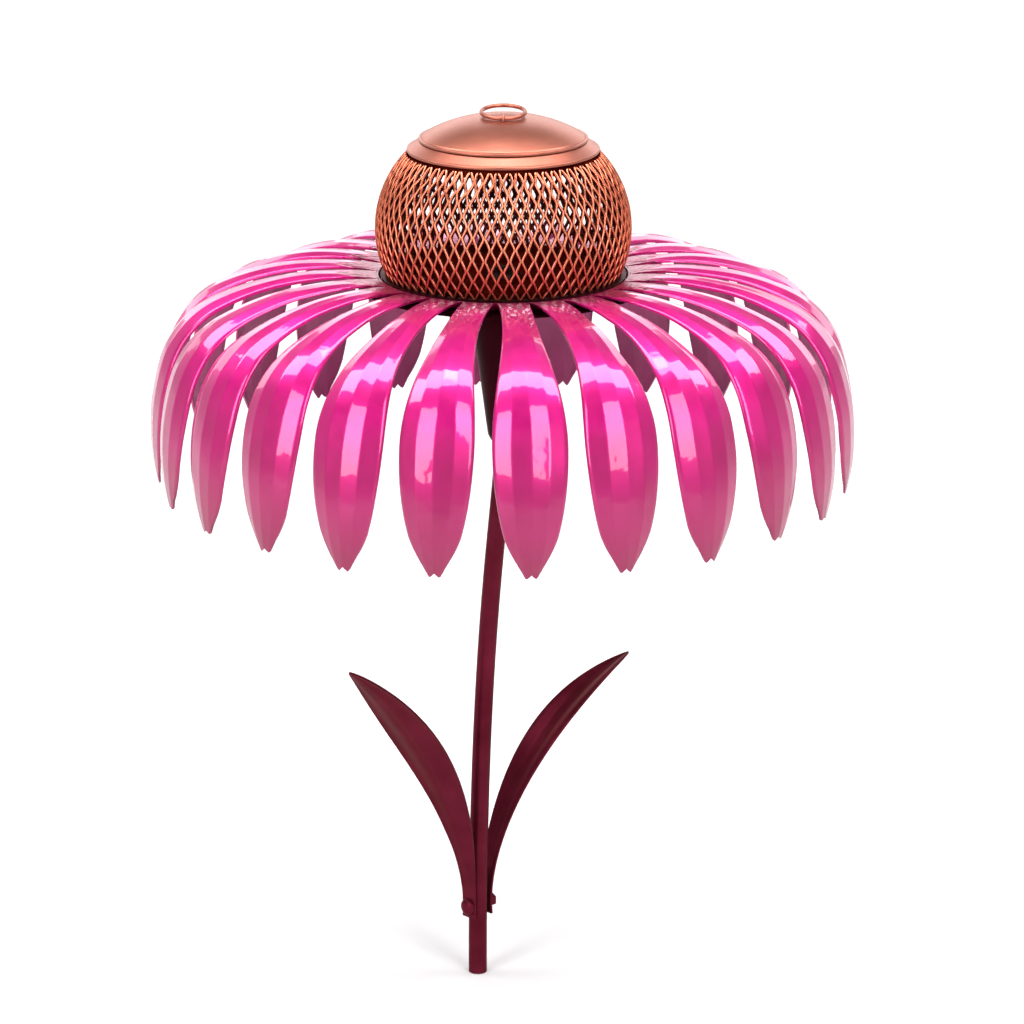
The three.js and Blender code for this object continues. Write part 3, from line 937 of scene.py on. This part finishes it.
def threads(radius, start, end, pitch=0.8 * MM):
    """Outline points of a screw thread from height start up to end."""
    count = int((end - start) / pitch)
    points = []
    for i in range(count):
        z = start + i * pitch
        points.append((radius - 0.35 * pitch, z))
        points.append((radius, z + pitch / 2))
    return points


def on_bolt_axis(piece):
    """Moves a piece made on the Z axis onto the leaf bolt's axis, its head to the left."""
    turn = Matrix.Translation(UP * BOLT_Z) @ Matrix.Rotation(LEAF_TURN, 4, "Z")
    piece.data.transform(turn @ Matrix.Rotation(-math.pi / 2, 4, "Y"))


def round_bolt():
    """The domed bolt that holds both leaves to the pole."""
    radius = 2.0 * MM
    chamfer = 0.4 * MM
    seat = TAB_FACE + GAP
    end = -seat - 5 * MM
    head_r, head_h = 4.4 * MM, 2.7 * MM
    rim = 0.5 * MM
    dome = []
    steps = 12
    for i in range(steps):
        a = math.pi / 2 * i / steps
        dome.append((head_r * math.cos(a), seat + rim + (head_h - rim) * math.sin(a)))
    outline = [(0, end), (radius - chamfer, end), *threads(radius, end + chamfer, 0)]
    outline += [(radius, 0), (radius, seat), (head_r, seat), *dome, (0, seat + head_h)]
    piece = turned("domed_bolt", outline, MAROON, centre=Vector(), segments=64, sharp=50)
    on_bolt_axis(piece)
    hand_over(piece, "feeder", "dark_paint", "leaf_bolt")


def inner_bolt():
    """The bolt on the flower's axis that clamps basket, petals, plate and neck together."""
    low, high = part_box("head_bolt")
    radius = 4.0 * MM
    chamfer = 0.6 * MM
    pitch = 1.25 * MM
    head_h = 4.4 * MM
    seat = high.z - head_h
    outline = [(0, low.z), (radius - chamfer, low.z), *threads(radius, low.z + 0.5 * MM, seat, pitch)]
    outline += [(radius, seat), (9 * MM, seat), (8.4 * MM, seat + 1.6 * MM), (7 * MM, seat + 3 * MM)]
    outline += [(4 * MM, seat + 4.1 * MM), (0, seat + head_h)]
    piece = turned("inner_bolt", outline, ZINC_PAINTED_SHADE, segments=96, sharp=30)
    hand_over(piece, "feeder", "steel", "head_bolt")


def carried_over(name, look):
    """A CAD node whose shape is right: a finer edge and a real finish."""
    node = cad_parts[name]
    node.data.materials.clear()
    node.data.materials.append(look)
    soften(node, 0.35 * MM, segments=3, limit=25)


# --- Stage: floor, lights, camera ---

def floor():
    """A pale floor that glows, more so far from the feeder, so that only soft shadows show on it.
    It is a little greyer in front of the feeder, where the petals' tips mirror it."""
    look = Look("pale_floor", Roughness=0.8, Specular_IOR_Level=0.0, Emission_Strength=1.0)
    away = look.tree.nodes.new("ShaderNodeVectorMath")
    away.operation = "LENGTH"
    look.tree.links.new(look.where, away.inputs[0])
    distance = look.math("MULTIPLY", away.outputs["Value"], 0.5)
    split = look.tree.nodes.new("ShaderNodeSeparateXYZ")
    look.tree.links.new(look.where, split.inputs["Vector"])
    behind = look.math("ADD", split.outputs["Y"], 1.0)
    shade = look.ramp(behind, (0.35, 0.80), (0.80, 1.0))
    glow = look.ramp(distance, (0.25, 0.03), (0.85, 0.50))
    look.link(look.mixed(1.0, glow, shade, "MULTIPLY"), "Emission Color")
    look.link(look.mixed(1.0, shade, (0.85, 0.85, 0.85), "MULTIPLY"), "Base Color")
    half = 12
    corners = [(-half, -half, 0), (half, -half, 0), (half, half, 0), (-half, half, 0)]
    ground = new_piece("floor", corners, [(0, 1, 2, 3)], [look.material])


def softbox(name, offset, aim, width, height, radiance):
    """A rectangular light of even radiance, offset from the point that it faces."""
    light = bpy.data.lights.new(name, "AREA")
    light.shape = "RECTANGLE"
    light.size = width
    light.size_y = height
    light.energy = radiance * math.pi * width * height
    lamp = bpy.data.objects.new(name, light)
    bpy.context.scene.collection.objects.link(lamp)
    lamp.location = aim + Vector(offset)
    lamp.rotation_euler = (aim - lamp.location).to_track_quat("-Z", "Y").to_euler()


def studio():
    """Pale walls low down, a dim ceiling, four softboxes round the flower and a lit backdrop."""
    world = bpy.data.worlds.new("studio")
    world.use_nodes = True
    tree = world.node_tree
    direction = tree.nodes.new("ShaderNodeTexCoord").outputs["Generated"]
    split = tree.nodes.new("ShaderNodeSeparateXYZ")
    ramp = tree.nodes.new("ShaderNodeValToRGB")
    stops = ((0.0, 0.55), (0.25, 0.45), (0.50, 0.30), (0.62, 0.10), (1.0, 0.08))
    elements = ramp.color_ramp.elements
    while len(elements) < len(stops):
        elements.new(0.5)
    for element, (place, value) in zip(elements, stops):
        element.position = place
        element.color = (value, value, value, 1)
    tree.links.new(direction, split.inputs["Vector"])
    tree.links.new(split.outputs["Z"], ramp.inputs["Fac"])
    tree.links.new(ramp.outputs["Color"], tree.nodes["Background"].inputs["Color"])
    tree.nodes["Background"].inputs["Strength"].default_value = 1.0
    bpy.context.scene.world = world

    flower = HEAD + UP * (RING_TOP - 30 * MM)
    softbox("overhead_left", (-0.50, 0.10, 1.1), flower, 0.5, 1.2, 8.0)
    softbox("overhead_right", (0.50, 0.10, 1.1), flower, 0.5, 1.2, 8.0)
    softbox("front_right", (0.75, -1.15, 0.80), flower, 0.6, 1.5, 6)
    softbox("front_left", (-1.0, -1.2, 0.70), flower, 0.6, 1.5, 6)
    softbox("backdrop", (0, 4.0, 1.4), flower, 9.0, 1.8, 2.0)


def camera():
    """The viewpoint: two metres away, a little above the flower."""
    distance = 2.14
    pitch = math.radians(16.974)
    target = Vector((17.9 * MM, 0, 251.2 * MM))
    lens = bpy.data.cameras.new("camera")
    lens.lens = 148.6
    lens.sensor_width = 36
    lens.clip_start = 0.05
    lens.clip_end = 60
    seer = bpy.data.objects.new("camera", lens)
    bpy.context.scene.collection.objects.link(seer)
    back = Vector((0, -math.cos(pitch), math.sin(pitch)))
    seer.location = target + back * distance
    seer.rotation_euler = (-back).to_track_quat("-Z", "Y").to_euler()
    bpy.context.scene.camera = seer


# --- The feeder ---

tube_pole()
funnel()
plate()
petal_disc()
petals()
basket_tray()
painted_shade_hem()
painted_shade_hoop()
mesh_basket()
lid_collar()
domed_lid()
staple()
pull_ring()
leaf("blade_left", "leaf_left", LEAF_BEND_LEFT, 26 * MM, 20, -1)
leaf("blade_right", "leaf_right", LEAF_BEND_RIGHT, 19.5 * MM, 0, 1)
round_bolt()
inner_bolt()
carried_over("leaf_nut", MAROON)
carried_over("head_nut", ZINC_PAINTED_SHADE)

floor()
studio()
camera()
bpy.context.scene.view_settings.view_transform = "Standard"
